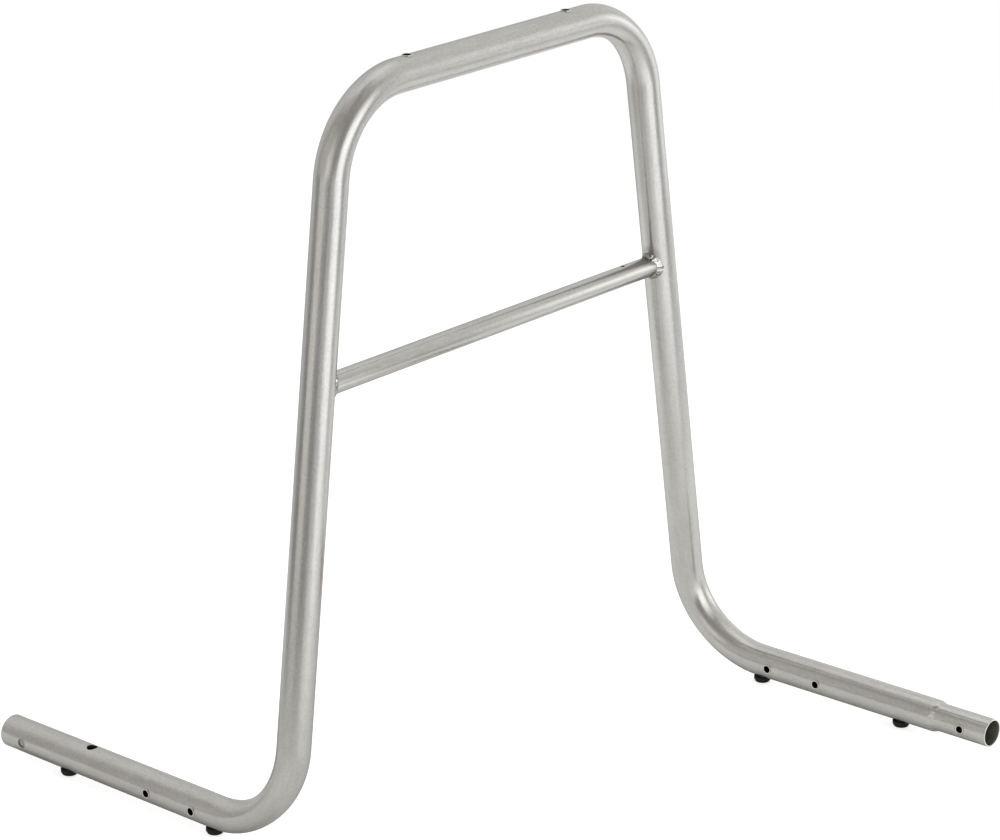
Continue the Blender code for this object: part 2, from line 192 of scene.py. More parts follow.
# Studio light. Azimuth 0 is towards -Y and 90 towards +X. A panel in the sky is its azimuth, the
# half-widths of its bright middle and of its whole, the elevations at which it is bright and has
# faded, and its light. One on the floor has the distances at which it begins and is bright, and
# one whose light is negative is a dark patch. The ground light is the floor's beyond its edge.
SKY_LIGHT = (0.425, 0.414, 0.392)
SKY_PANELS = [(2, 4, 28, 15, 55, (1.50, 1.53, 1.56)),
              (66, 3, 22, 5, 27, (1.04, 1.05, 1.07)),
              (108, 6, 28, 8, 44, (0.36, 0.375, 0.395)),
              (115, 60, 118, 80, 90, (0.46, 0.464, 0.465)),
              (-75, 6, 24, 15, 45, (0.40, 0.393, 0.38)),
              (-104, 25, 43, 35, 60, (0.25, 0.242, 0.222)),
              (118, 25, 50, 66, 42, (0.27, 0.27, 0.27)),
              (-138, 10, 60, 66, 50, (0.24, 0.24, 0.24)),
              (20, 30, 70, 66, 50, (0.14, 0.14, 0.14))]
GROUND_LIGHT = (0.41, 0.407, 0.392)
FLOOR_NEAR = (0.19, 0.19, 0.187)
FLOOR_FAR = (0.19, 0.188, 0.182)
FLOOR_PANELS = [(2, 4, 29, 0.0, 2.1, (1.17, 1.19, 1.22)),
                (9, 3, 15, 1.4, 3.2, (0.28, 0.285, 0.29)),
                (-30, 4, 24, -0.1, 1.2, (0.37, 0.375, 0.38)),
                (64, 4, 22, 1.6, 4.0, (0.60, 0.61, 0.62)),
                (122, 55, 110, -0.1, 1.4, (0.48, 0.483, 0.485)),
                (102, 5, 36, 0.7, 2.4, (0.50, 0.52, 0.545)),
                (-101, 8, 26, 0.6, 4.0, (0.58, 0.565, 0.54)),
                (-134, 8, 24, 0.7, 1.6, (-0.06, -0.06, -0.055))]
HORIZON_BLUR = 0.03        # sine of the elevation over which the floor goes over into the sky
FLOOR_R = 3.0
FLOOR_SIDES = 256
FLOOR_GAP = 0.0001
PAPER_NEAR = (0.85, 0.85, 0.85)     # colour of the floor under the object and far off
PAPER_FAR = (0.25, 0.25, 0.25)
WHITE_NEAR = 0.68          # glow of the floor in the camera's view, which makes its paper white
WHITE_FAR = 0.95
PAPER_SPREAD = (0.55, 2.2)
SHADE_EDGE = 0.03          # over which the legs' shade ends lengthwise

# Camera
CAMERA_PLACE = (-2.9066, -2.5654, 1.8225)
CAMERA_AZIMUTH = -48.655
CAMERA_ELEVATION = 19.760
CAMERA_ROLL = -0.8295
CAMERA_LENS = 126.26
CAMERA_SENSOR = 36

# Facets
TUBE_SIDES = 96
BEND_STEPS = 26
SWAGE_STEPS = 8
ROUND_SIDES = 48
PAD_SIDES = 64
THREAD_STEPS = 32
WELD_STEPS = 336
WELD_SIDES = 28


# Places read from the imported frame

def middle(node):
    """Centre of a node's box."""
    low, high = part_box(node)
    return (low + high) / 2


tube_low, tube_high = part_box("frame_tube")
LEG_Z = tube_low.z + TUBE_R
TOP_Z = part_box("top_nut_1")[1].z - NUT_FLANGE_T - TUBE_R
LOOP_Y = middle("crossbar").y
SOCKET_X = middle("foot_pad_1").x
SPIGOT_X = middle("foot_pad_4").x
LOOP_X = (SOCKET_X + SPIGOT_X) / 2
SOCKET_END = Vector((SOCKET_X, tube_high.y, LEG_Z))
SOCKET_CORNER = Vector((SOCKET_X, LOOP_Y, LEG_Z))
TOP_SOCKET_CORNER = Vector((LOOP_X - TOP_SPAN / 2, LOOP_Y, TOP_Z))
TOP_SPIGOT_CORNER = Vector((LOOP_X + TOP_SPAN / 2, LOOP_Y, TOP_Z))
SPIGOT_CORNER = Vector((SPIGOT_X, LOOP_Y, LEG_Z))
SPIGOT_TIP = Vector((SPIGOT_X, tube_low.y, LEG_Z))
CROSSBAR_Z = middle("crossbar").z


# Modelling

def select(*pieces):
    """Select these pieces and no others, in object mode, with the first one active."""
    if bpy.context.object and bpy.context.object.mode != "OBJECT":
        bpy.ops.object.mode_set(mode="OBJECT")
    bpy.ops.object.select_all(action="DESELECT")
    for piece in pieces:
        piece.select_set(True)
    if pieces:
        bpy.context.view_layer.objects.active = pieces[0]


def edit(piece):
    """Open one piece in edit mode."""
    select(piece)
    bpy.ops.object.mode_set(mode="EDIT")


def close_edit():
    """Turn the faces of the piece in edit mode outwards and go back to object mode."""
    bpy.ops.mesh.select_all(action="SELECT")
    bpy.ops.mesh.normals_make_consistent(inside=False)
    bpy.ops.object.mode_set(mode="OBJECT")


def apply_place(piece):
    """Move an object's place into its mesh."""
    select(piece)
    bpy.ops.object.transform_apply(location=True, rotation=True, scale=True)


def apply_modifier(piece, kind, **settings):
    """Add a modifier and apply it."""
    select(piece)
    modifier = piece.modifiers.new(kind.lower(), kind)
    for name, value in settings.items():
        setattr(modifier, name, value)
    bpy.ops.object.modifier_apply(modifier=modifier.name)


def turned(name, profile, sides=ROUND_SIDES, closed=False):
    """A round piece about Z: a ring extruded through a profile of (radius, height) points.

    A closed profile joins its last ring to its first. An open one gets both its ends filled.
    """
    select()
    radius, height = profile[0]
    bpy.ops.mesh.primitive_circle_add(vertices=sides, radius=radius, location=(0, 0, height))
    piece = bpy.context.object
    piece.name = name
    apply_place(piece)
    edit(piece)
    for next_radius, next_height in profile[1:]:
        rise = (0, 0, next_height - height)
        bpy.ops.mesh.extrude_region_move(TRANSFORM_OT_translate={"value": rise})
        share = next_radius / radius
        bpy.ops.transform.resize(value=(share, share, 1), center_override=(0, 0, next_height))
        radius, height = next_radius, next_height
    bpy.ops.mesh.select_all(action="DESELECT")
    bpy.ops.mesh.select_non_manifold()
    if closed:
        bpy.ops.mesh.bridge_edge_loops()
    else:
        bpy.ops.mesh.fill_holes(sides=0)
    close_edit()
    return piece


def arc(centre_r, centre_z, radius, start, end, steps):
    """Profile points on an arc, with angles in degrees from outwards to upwards."""
    angles = [math.radians(start + (end - start) * i / steps) for i in range(steps + 1)]
    return [(centre_r + radius * math.cos(a), centre_z + radius * math.sin(a)) for a in angles]


def drape(piece, surface_r, above, below):
    """Lay the rings of a piece between two heights on a tube of this radius along Y."""
    for vertex in piece.data.vertices:
        if below < vertex.co.z < above:
            vertex.co.z += math.sqrt(surface_r ** 2 - vertex.co.x ** 2) - surface_r


def orient(piece, on_axis, outward, along):
    """Put a piece on a tube's axis, its +Z outwards and its Y along the tube."""
    rotation = Matrix((along.cross(outward), along, outward)).transposed()
    piece.matrix_world = Matrix.Translation(on_axis) @ rotation.to_4x4()
    apply_place(piece)


def copy_piece(source, name):
    """A copy of a piece with a mesh of its own."""
    piece = source.copy()
    piece.data = source.data.copy()
    piece.name = name
    bpy.context.collection.objects.link(piece)
    return piece


def join(pieces):
    """Join pieces into the first."""
    select(*pieces)
    bpy.ops.object.join()
    return pieces[0]


def smooth(piece, angle=35):
    """Shade smooth but for sharp edges."""
    select(piece)
    bpy.ops.object.shade_smooth_by_angle(angle=math.radians(angle))


def cut(piece, cutters):
    """Cut a piece with drills and cutters, which are then thrown away."""
    drill = join(cutters)
    apply_modifier(piece, "BOOLEAN", operation="DIFFERENCE", solver="EXACT", object=drill)
    bpy.data.objects.remove(drill)


def ease(share):
    """Smooth step from 0 to 1."""
    return share * share * (3 - 2 * share)


def add_attributes(piece, **kinds):
    """Give a mesh's points new attributes and return their values.

    The values are looked up last, because each new attribute moves those made before it.
    """
    for name, kind in kinds.items():
        piece.data.attributes.new(name, kind, "POINT")
    return [piece.data.attributes[name].data for name in kinds]


# Path of the main tube

class Straight:
    """A straight run of the tube's path."""

    def __init__(self, start, end, first, second):
        self.start = start
        self.direction = (end - start).normalized()
        self.length = (end - start).length
        self.first = first
        self.second = second

    def place(self, along, x, y):
        """World point of a point of the straight tube."""
        return self.start + self.direction * along + self.first * x + self.second * y


class Bend:
    """A bend of the tube's path, in which the tube is pressed oval."""

    def __init__(self, before, corner, after, first, second):
        into = (corner - before).normalized()
        out = (after - corner).normalized()
        self.turn = into.angle(out)
        self.length = BEND_R * self.turn
        self.axis = into.cross(out).normalized()
        self.inward = self.axis.cross(into)
        reach = BEND_R * math.tan(self.turn / 2)
        self.start = corner - into * reach
        self.end = corner + out * reach
        self.first = first
        self.second = second
        self.pivot = self.start + self.inward * BEND_R

    def carried(self, vector, along):
        """A vector carried round the bend with the tube."""
        return Matrix.Rotation(along / BEND_R, 3, self.axis) @ vector

    def place(self, along, x, y):
        """World point of a point of the straight tube."""
        offset = self.first * x + self.second * y
        pinch = math.sin(math.pi * along / self.length) ** 2
        radial = self.inward * offset.dot(self.inward)
        offset = (radial * (1 - BEND_FLATTENING * pinch)
                  + (offset - radial) * (1 + BEND_SPREAD * pinch))
        return self.pivot + self.carried(self.start + offset - self.pivot, along)


def tube_path():
    """Straights and bends from the socket's end to the spigot's tip."""
    corners = [SOCKET_END, SOCKET_CORNER, TOP_SOCKET_CORNER, TOP_SPIGOT_CORNER,
               SPIGOT_CORNER, SPIGOT_TIP]
    runs = []
    start, first, second = SOCKET_END, X_AXIS, Z_AXIS
    for before, corner, after in zip(corners, corners[1:], corners[2:]):
        bend = Bend(before, corner, after, first, second)
        runs += [Straight(start, bend.start, first, second), bend]
        start = bend.end
        first, second = bend.carried(first, bend.length), bend.carried(second, bend.length)
    runs.append(Straight(start, SPIGOT_TIP, first, second))
    return runs


PATH = tube_path()
SOCKET_RUN, TOP_RUN, SPIGOT_RUN = PATH[::4]
TUBE_LENGTH = sum(run.length for run in PATH)
SPIGOT_START = TUBE_LENGTH - SPIGOT_STRAIGHT
SWAGE_START = SPIGOT_START - SWAGE_LENGTH


def length_before(run):
    """Length of tube before a run."""
    return sum(before.length for before in PATH[:PATH.index(run)])


def on_path(height, x, y):
    """World point of a point of the straight tube."""
    for run in PATH:
        if height <= run.length or run is PATH[-1]:
            return run.place(height, x, y)
        height -= run.length


def drill_spot(run, point, outward):
    """How far along the straight tube a hole is, and how far round it, for a point in the world."""
    along = length_before(run) + (point - run.start).dot(run.direction)
    return along, math.atan2(outward.dot(run.second), outward.dot(run.first))


# Main tube

def ring_heights():
    """Heights of the straight tube's rings: close in the bends and over the swage."""
    heights = []
    at = 0.0
    for run in PATH:
        if isinstance(run, Bend):
            heights += [at + run.length * i / BEND_STEPS for i in range(BEND_STEPS + 1)]
        at += run.length
    heights += [SWAGE_START + SWAGE_LENGTH * i / SWAGE_STEPS for i in range(SWAGE_STEPS + 1)]
    return heights + [TUBE_LENGTH]


def tube_radius(height):
    """Radius of the straight tube, swaged down to the spigot."""
    share = (height - SWAGE_START) / SWAGE_LENGTH
    return TUBE_R + (SPIGOT_R - TUBE_R) * ease(min(max(share, 0.0), 1.0))


def draw_tube(name, radius_at, heights, wall):
    """A straight tube along Z: a ring extruded from height to height, then given its wall."""
    select()
    at, radius = 0.0, radius_at(0.0)
    bpy.ops.mesh.primitive_circle_add(vertices=TUBE_SIDES, radius=radius, location=(0, 0, 0))
    piece = bpy.context.object
    piece.name = name
    edit(piece)
    for height in heights:
        rise = (0, 0, height - at)
        bpy.ops.mesh.extrude_region_move(TRANSFORM_OT_translate={"value": rise})
        share = radius_at(height) / radius
        if share != 1:
            bpy.ops.transform.resize(value=(share, share, 1), center_override=(0, 0, height))
        at, radius = height, radius_at(height)
    close_edit()
    apply_modifier(piece, "SOLIDIFY", thickness=wall, offset=-1, use_even_offset=True)
    apply_modifier(piece, "BEVEL", width=RIM_EDGE, segments=3, limit_method="ANGLE",
                   angle_limit=math.radians(60), use_clamp_overlap=False)
    return piece


def aim(piece, along, turn):
    """Set a drill on the straight tube, so far along it and so far round it."""
    orient(piece, Z_AXIS * along, Vector((math.cos(turn), math.sin(turn), 0)), Z_AXIS)
    return piece


def drill(along, turn, diameter, surface_r, chamfer=0.0):
    """A drill through one wall of the straight tube, widened at the surface by its chamfer."""
    radius = diameter / 2
    top = surface_r + TUBE_WALL
    profile = [(radius, surface_r / 3), (radius, surface_r - chamfer)]
    if chamfer:
        profile.append((radius + chamfer * 2, surface_r + chamfer))
        profile.append((radius + chamfer * 2, top))
    else:
        profile.append((radius, top))
    piece = turned("drill", profile)
    if chamfer:
        drape(piece, surface_r, surface_r + chamfer * 1.5, surface_r - chamfer * 1.5)
    return aim(piece, along, turn)


def countersunk_drill(along, turn):
    """The drill of the spigot nut's hole, with a cone for the nut's head."""
    depth = NUT_FLANGE_R - NUT_BARREL_R
    barrel = NUT_BARREL_R + FIT_GAP
    flange = NUT_FLANGE_R + FIT_GAP
    piece = turned("drill", [(barrel, SPIGOT_R / 3), (barrel, SPIGOT_R - depth - FIT_GAP),
                             (flange, SPIGOT_R - FIT_GAP), (flange, SPIGOT_R + TUBE_WALL)])
    drape(piece, SPIGOT_R, SPIGOT_R, SPIGOT_R / 2)
    return aim(piece, along, turn)


NUT_HOLES = ([(SOCKET_RUN, f"foot_nut_{n}", -Z_AXIS) for n in (1, 2)]
             + [(SPIGOT_RUN, f"foot_nut_{n}", -Z_AXIS) for n in (3, 4)]
             + [(SOCKET_RUN, f"side_nut_{n}", -X_AXIS) for n in (1, 2)]
             + [(SPIGOT_RUN, f"side_nut_{n}", -X_AXIS) for n in (3, 4)]
             + [(TOP_RUN, f"top_nut_{n}", Z_AXIS) for n in (1, 2)])


def tube_drills():
    """Drills of all holes in the main tube."""
    drills = []
    for run, node, outward in NUT_HOLES:
        drills.append(drill(*drill_spot(run, middle(node), outward), NUT_HOLE_D, TUBE_R))
    drills.append(countersunk_drill(*drill_spot(SPIGOT_RUN, middle("spigot_nut"), -X_AXIS)))
    for inset, outward, diameter, chamfer in (
            (SOCKET_HOLE_INSET, -X_AXIS, SOCKET_HOLE_D, SOCKET_HOLE_CHAMFER),
            (ANCHOR_INSET, Z_AXIS, ANCHOR_TOP_D, ANCHOR_TOP_CHAMFER),
            (ANCHOR_INSET, -Z_AXIS, ANCHOR_BOTTOM_D, ANCHOR_BOTTOM_CHAMFER)):
        spot = drill_spot(SOCKET_RUN, SOCKET_END - Y_AXIS * inset, outward)
        drills.append(drill(*spot, diameter, TUBE_R, chamfer))
    return drills


def remember_straight(piece, radius_at, wall, length):
    """Keep each point's place on the straight tube, in its wall, and whether it is on a rim."""
    kept = add_attributes(piece, drawn="FLOAT_VECTOR", wall_depth="FLOAT", rim="FLOAT")
    for point, below, edge, vertex in zip(*kept, piece.data.vertices):
        point.vector = vertex.co
        below.value = (radius_at(vertex.co.z) - vertex.co.xy.length) / wall
        edge.value = float(min(vertex.co.z, length - vertex.co.z) < RIM_EDGE / 2)


def make_bent_tube():
    """The long tube: drawn straight, swaged, drilled and bent."""
    piece = draw_tube("bent_tube", tube_radius, ring_heights(), TUBE_WALL)
    cut(piece, tube_drills())
    remember_straight(piece, tube_radius, TUBE_WALL, TUBE_LENGTH)
    for vertex in piece.data.vertices:
        vertex.co = on_path(vertex.co.z, vertex.co.x, vertex.co.y)
    smooth(piece)
    return piece


# Crossbar and its welds

def upright_face(side, across, height, radius=TUBE_R):
    """X of an upright's surface, on its side that faces the other upright.

    side is -1 at the socket and 1 at the spigot. across is measured from the loop's plane.
    """
    foot, top = ((SOCKET_CORNER, TOP_SOCKET_CORNER) if side < 0
                 else (SPIGOT_CORNER, TOP_SPIGOT_CORNER))
    lean = (top - foot).normalized()
    reach = math.sqrt(radius ** 2 - across ** 2)
    return foot.x + ((height - LEG_Z) * lean.x - side * reach) / lean.z


def crossbar_radius(_):
    """Radius of the crossbar, the same at each height."""
    return CROSSBAR_R


def make_cross_tube():
    """The crossbar: a thinner tube with a vent, its ends cut to the shape of the uprights."""
    length = SPIGOT_X - SOCKET_X
    piece = draw_tube("cross_tube", crossbar_radius, [length / 2, length], CROSSBAR_WALL)
    vent_x = upright_face(1, 0, CROSSBAR_Z, 0) - VENT_INSET
    cut(piece, [drill(vent_x - SOCKET_X, math.pi / 2, VENT_D, CROSSBAR_R, VENT_CHAMFER)])
    remember_straight(piece, crossbar_radius, CROSSBAR_WALL, length)
    for vertex in piece.data.vertices:
        across, up, along = vertex.co
        at = SOCKET_X + along
        if along < RIM_EDGE * 2:
            at = upright_face(-1, across, CROSSBAR_Z + up) + along
        elif along > length - RIM_EDGE * 2:
            at = upright_face(1, across, CROSSBAR_Z + up) - (length - along)
        vertex.co = (at, LOOP_Y + across, CROSSBAR_Z + up)
    smooth(piece)
    return piece


def weld_reach(section, leg):
    """Distance from the middle of a bead to its skin, at an angle round its section."""
    middle_inset = leg * WELD_MIDDLE
    sunk = middle_inset + WELD_SINK
    face = (leg - 2 * middle_inset) * (1 + WELD_CROWN)
    limits = [(-math.cos(section), sunk), (-math.sin(section), sunk),
              (math.cos(section) + math.sin(section), face)]
    return sum((facing / reach) ** WELD_CORNERS for facing, reach in limits
               if facing > 0) ** (-1 / WELD_CORNERS)


def around(turn, pace, level):
    """Noise that closes on itself round a bead. At a higher pace it changes faster."""
    return noise.noise(Vector((math.cos(turn) * pace, math.sin(turn) * pace, level)))


def weld_crest(turn, section):
    """1 on the crest of a ripple that the weld pool left and 0 between two, bowed backwards."""
    lag = (section - math.pi / 4) * WELD_BOW
    ripples = turn * WELD_RIPPLES / (2 * math.pi) + lag ** 2 + around(turn, 3, 5)
    return abs(math.sin(math.pi * ripples))


def weld_ripple(turn, section):
    """Height of the ripples, and of the bead's own lumps."""
    lumps = WELD_LUMPS * around(turn, 4, section)
    return WELD_RIPPLE_H * (weld_crest(turn, section) - WELD_SKIN + lumps)


def weld_crater(turn, crater_turn):
    """The dip and its raised ring where the welder stopped."""
    away = math.remainder(turn - crater_turn, 2 * math.pi) * CROSSBAR_R / CRATER_R
    ring = math.exp(-(abs(away) - 1) ** 2 * CRATER_RING)
    return CRATER_H * (ring - CRATER_DEPTH * math.exp(-away ** 2 * CRATER_DIP))


def window(value, low, high, edge):
    """1 between two values and 0 beyond them."""
    rise = min(max((value - low) / edge, 0.0), 1.0)
    fall = min(max((high - value) / edge, 0.0), 1.0)
    return ease(min(rise, fall))


def make_weld(name, side, crater_turn, brushed_parts):
    """A rippled fillet bead round one end of the crossbar."""
    select()
    ring_r = CROSSBAR_R + WELD_LEG
    bpy.ops.mesh.primitive_torus_add(major_segments=WELD_STEPS, minor_segments=WELD_SIDES,
                                     major_radius=ring_r, minor_radius=WELD_LEG / 2)
    piece = bpy.context.object
    piece.name = name
    kept = add_attributes(piece, crest="FLOAT", brushed="FLOAT")
    for crest, glint, vertex in zip(*kept, piece.data.vertices):
        turn = math.atan2(vertex.co.y, vertex.co.x)
        section = math.atan2(vertex.co.z, math.hypot(vertex.co.x, vertex.co.y) - ring_r)
        crest.value = weld_crest(turn, section)
        # Where the bead is polished and carries a painted highlight
        glint.value = sum(window(turn % (2 * math.pi), *part, GLINT_EDGE)
                           for part in brushed_parts)
        leg = WELD_LEG * (1 + WELD_WANDER * around(turn, 1.5, side))
        reach = weld_reach(section, leg)
        if -math.pi / 4 < section < math.pi * 3 / 4:
            reach += weld_ripple(turn, section) + weld_crater(turn, crater_turn)
        out = leg * WELD_MIDDLE + reach * math.cos(section)
        inset = leg * WELD_MIDDLE + reach * math.sin(section)
        spread = math.sqrt(1 - (CROSSBAR_R * math.cos(turn) / TUBE_R) ** 2)
        radius = CROSSBAR_R + out * spread
        across, up = radius * math.cos(turn), radius * math.sin(turn)
        face = upright_face(side, across, CROSSBAR_Z + up)
        vertex.co = (face - side * inset, LOOP_Y + across, CROSSBAR_Z + up)
    edit(piece)
    close_edit()
    smooth(piece, 80)
    return piece


# Rivet nuts

def make_thread(root_r, crest_r, low, high):
    """A screw thread between two heights: one tooth, carried round and up by a Screw modifier."""
    select()
    bpy.ops.mesh.primitive_circle_add(vertices=3, radius=THREAD_PITCH / 2)
    piece = bpy.context.object
    width = THREAD_PITCH * THREAD_TOOTH_W
    tooth = [(root_r, low), (crest_r, low + width / 2), (root_r, low + width)]
    for vertex, (radius, height) in zip(piece.data.vertices, tooth):
        vertex.co = (radius, 0, height)
    turns = int((high - low) / THREAD_PITCH) - 1
    apply_modifier(piece, "SCREW", angle=2 * math.pi, screw_offset=THREAD_PITCH,
                   iterations=turns, steps=THREAD_STEPS, render_steps=THREAD_STEPS)
    edit(piece)
    bpy.ops.mesh.select_all(action="SELECT")
    bpy.ops.mesh.remove_doubles(threshold=THREAD_MERGE)
    bpy.ops.mesh.select_all(action="DESELECT")
    bpy.ops.mesh.select_non_manifold()
    bpy.ops.mesh.fill_holes(sides=0)
    close_edit()
    return piece


def nut_body_profile(surface_r):
    """Profile of a rivet nut below its head: barrel, bulge behind the wall, and threaded bore."""
    grip = surface_r - TUBE_WALL
    bulge_end = surface_r - NUT_BULGE_DEPTH
    fold = (grip + bulge_end) / 2
    fold_r = (grip - bulge_end) / 2
    end = surface_r - NUT_LENGTH
    shoulder = end + NUT_THREAD_LENGTH
    bulge = arc(NUT_BULGE_R - fold_r, fold, fold_r, 90, -90, 8)
    barrel_end = arc(NUT_BARREL_R - NUT_EDGE, end + NUT_EDGE, NUT_EDGE, 0, -90, 4)
    return [(NUT_BARREL_R, grip), *bulge, (NUT_BARREL_R, bulge_end), *barrel_end,
            (NUT_THREAD_R + NUT_EDGE, end), (NUT_THREAD_R, end + NUT_EDGE),
            (NUT_THREAD_R, shoulder - NUT_EDGE), (NUT_MOUTH_R, shoulder)]


def make_nut():
    """A rivet nut with a flat head on the tube, about Z, with the tube's axis at the origin."""
    face = TUBE_R + NUT_HEAD_T
    seat = TUBE_R - NUT_SINK
    head = [(NUT_MOUTH_R, face - NUT_MOUTH_BEVEL), (NUT_MOUTH_R + NUT_MOUTH_BEVEL, face),
            *arc(NUT_FLANGE_R - NUT_EDGE, face - NUT_EDGE, NUT_EDGE, 90, 0, 5),
            (NUT_FLANGE_R, seat), (NUT_BARREL_R, seat)]
    piece = turned("nut", head + nut_body_profile(TUBE_R), closed=True)
    drape(piece, TUBE_R, face - NUT_EDGE * 1.5, TUBE_R - TUBE_WALL * 0.8)
    return add_nut_thread(piece, TUBE_R)


def make_flush_nut():
    """The spigot's rivet nut: a cone head level with the surface, so that the spigot slides in."""
    cone = NUT_FLANGE_R - NUT_BARREL_R
    head = [(NUT_MOUTH_R, SPIGOT_R - NUT_EDGE), (NUT_MOUTH_R + NUT_EDGE, SPIGOT_R),
            (NUT_FLANGE_R, SPIGOT_R), (NUT_BARREL_R, SPIGOT_R - cone)]
    piece = turned("flush_nut", head + nut_body_profile(SPIGOT_R), closed=True)
    drape(piece, SPIGOT_R, SPIGOT_R + NUT_EDGE, SPIGOT_R - TUBE_WALL * 0.9)
    return add_nut_thread(piece, SPIGOT_R)


def add_nut_thread(piece, surface_r):
    """Give a nut its inner thread."""
    end = surface_r - NUT_LENGTH
    thread = make_thread(NUT_THREAD_R + NUT_EDGE / 2, NUT_CREST_R,
                         end + NUT_EDGE, end + NUT_THREAD_LENGTH - NUT_EDGE)
    join([piece, thread])
    remember_bore(piece, surface_r)
    smooth(piece)
    return piece


def remember_bore(piece, surface_r):
    """Mark the inside of a nut, where shade is painted, and the lip of its mouth, where a highlight
    is painted.
    """
    kept = add_attributes(piece, bore="FLOAT", lip="FLOAT")
    for bore_shade, bright, vertex in zip(*kept, piece.data.vertices):
        reach = vertex.co.xy.length
        in_bore = reach < NUT_MOUTH_R + NUT_EDGE / 3
        on_lip = not in_bore and reach < NUT_BARREL_R - NUT_EDGE / 3
        bore_shade.value = float(in_bore)
        bright.value = float(on_lip and vertex.co.z > surface_r - TUBE_WALL)


def drop_lip_highlights(nuts):
    """Take the painted highlight off these nuts' lips."""
    for piece in nuts:
        for bright in piece.data.attributes["lip"].data:
            bright.value = 0.0


# Feet

def make_pad():
    """A tapered rubber pad, hollow for the stud's head and recessed for the nut's flange."""
    rim = PAD_TOP_R - PAD_TOP_EDGE
    profile = [(PAD_BOTTOM_R - PAD_EDGE * 2, 0),
               *arc(PAD_BOTTOM_R - PAD_EDGE, PAD_EDGE, PAD_EDGE, -90, -12, 6),
               *arc(rim, PAD_SHOULDER, PAD_TOP_EDGE, -20, 0, 3),
               *arc(rim, PAD_TOP - PAD_TOP_EDGE, PAD_TOP_EDGE, 0, 90, 4),
               (RECESS_R, PAD_TOP), (RECESS_R, RECESS_FLOOR), (SHANK_HOLE_R, RECESS_FLOOR),
               (SHANK_HOLE_R, STUD_HEAD_TOP), (STUD_HEAD_R, STUD_HEAD_TOP),
               (STUD_HEAD_R, STUD_HEAD_Z)]
    piece = turned("rubber_foot", profile, PAD_SIDES)
    smooth(piece, 30)
    return piece


def make_stud():
    """A threaded stud with a flat round head, which is moulded into the pad."""
    edge = STUD_EDGE
    profile = [(STUD_HEAD_R - edge, STUD_HEAD_Z), (STUD_HEAD_R, STUD_HEAD_Z + edge),
               (STUD_HEAD_R, STUD_HEAD_TOP - edge), (STUD_HEAD_R - edge, STUD_HEAD_TOP),
               *arc(THREAD_ROOT_R + edge, STUD_HEAD_TOP + edge, -edge, 90, 0, 3),
               (THREAD_ROOT_R, STUD_TIP - edge), (THREAD_ROOT_R - edge, STUD_TIP)]
    piece = turned("foot_screw", profile)
    thread = make_thread(THREAD_ROOT_R - edge / 4, THREAD_CREST_R,
                         STUD_HEAD_TOP + edge, STUD_TIP - edge / 2)
    join([piece, thread])
    smooth(piece)
    return piece


# The pieces, each on its body and in place of its node

def dress(piece, node, body="root"):
    """Say what a piece stands for and what it moves with."""
    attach(piece, body)
    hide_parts(node)


def place_nuts(source, kind, name, numbers, outward, along):
    """Copies of a nut set in the tube where the frame has them."""
    made = []
    for number in numbers:
        node = f"{kind}_{number}"
        low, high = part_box(node)
        on_axis = (low + high) / 2
        head = max(low.dot(outward), high.dot(outward))
        on_axis += outward * (head - NUT_FLANGE_T - TUBE_R - on_axis.dot(outward))
        piece = copy_piece(source, f"{name}_{number}")
        orient(piece, on_axis, outward, along)
        dress(piece, node)
        made.append(piece)
    return made


def place_feet(pad, stud):
    """Copies of the pad and its stud at the four feet."""
    pads, studs = [], []
    for number in (1, 2, 3, 4):
        spot = middle(f"foot_pad_{number}")
        for source, name, part, slot, made in (
                (pad, "rubber_foot", "pad", "foot_rubber", pads),
                (stud, "foot_screw", "stud", "plated_steel", studs)):
            piece = copy_piece(source, f"{name}_{number}")
            piece.location = (spot.x, spot.y, 0)
            apply_place(piece)
            dress(piece, f"foot_{part}_{number}", f"foot_{number}_{part}")
            made.append(piece)
    return pads, studs


bent_tube = make_bent_tube()
dress(bent_tube, "frame_tube")
cross_tube = make_cross_tube()
dress(cross_tube, "crossbar")
weld_beads = [make_weld("weld_bead_socket_side", -1, SOCKET_CRATER, SOCKET_BRUSHED_GLINTS),
              make_weld("weld_bead_spigot_side", 1, SPIGOT_CRATER, SPIGOT_BRUSHED_GLINTS)]
for bead, weld_node in zip(weld_beads, ("weld_socket_side", "weld_spigot_side")):
    dress(bead, weld_node)

nut = make_nut()
inserts = place_nuts(nut, "side_nut", "side_insert", (1, 2, 3, 4), -X_AXIS, Y_AXIS)
inserts += place_nuts(nut, "foot_nut", "foot_insert", (1, 2, 3, 4), -Z_AXIS, Y_AXIS)
top_inserts = place_nuts(nut, "top_nut", "top_insert", (1, 2), Z_AXIS, X_AXIS)
drop_lip_highlights(top_inserts)
inserts += top_inserts
bpy.data.objects.remove(nut)
flush_nut = make_flush_nut()
flush_nut.name = "spigot_insert"
orient(flush_nut, Vector((SPIGOT_X, middle("spigot_nut").y, LEG_Z)), -X_AXIS, Y_AXIS)
dress(flush_nut, "spigot_nut")
inserts.append(flush_nut)

pad = make_pad()
stud = make_stud()
rubber_feet, screws = place_feet(pad, stud)
bpy.data.objects.remove(pad)
bpy.data.objects.remove(stud)


# Shader maths

class Value:
    """A socket in a Python expression. Each operation on it adds a Math node."""

    def __init__(self, nodes, socket):
        self.nodes = nodes
        self.socket = socket

    def math(self, operation, *values):
        """A Math node on these values."""
        return self.nodes.node("ShaderNodeMath", {"operation": operation}, dict(enumerate(values)))

    def __abs__(self):
        return self.math("ABSOLUTE", self)

    def __add__(self, other):
        return self.math("ADD", self, other)

    __radd__ = __add__

    def __sub__(self, other):
        return self.math("SUBTRACT", self, other)

    def __rsub__(self, other):
        return self.math("SUBTRACT", other, self)

    def __mul__(self, other):
        return self.math("MULTIPLY", self, other)

    __rmul__ = __mul__

    def __rtruediv__(self, other):
        return self.math("DIVIDE", other, self)


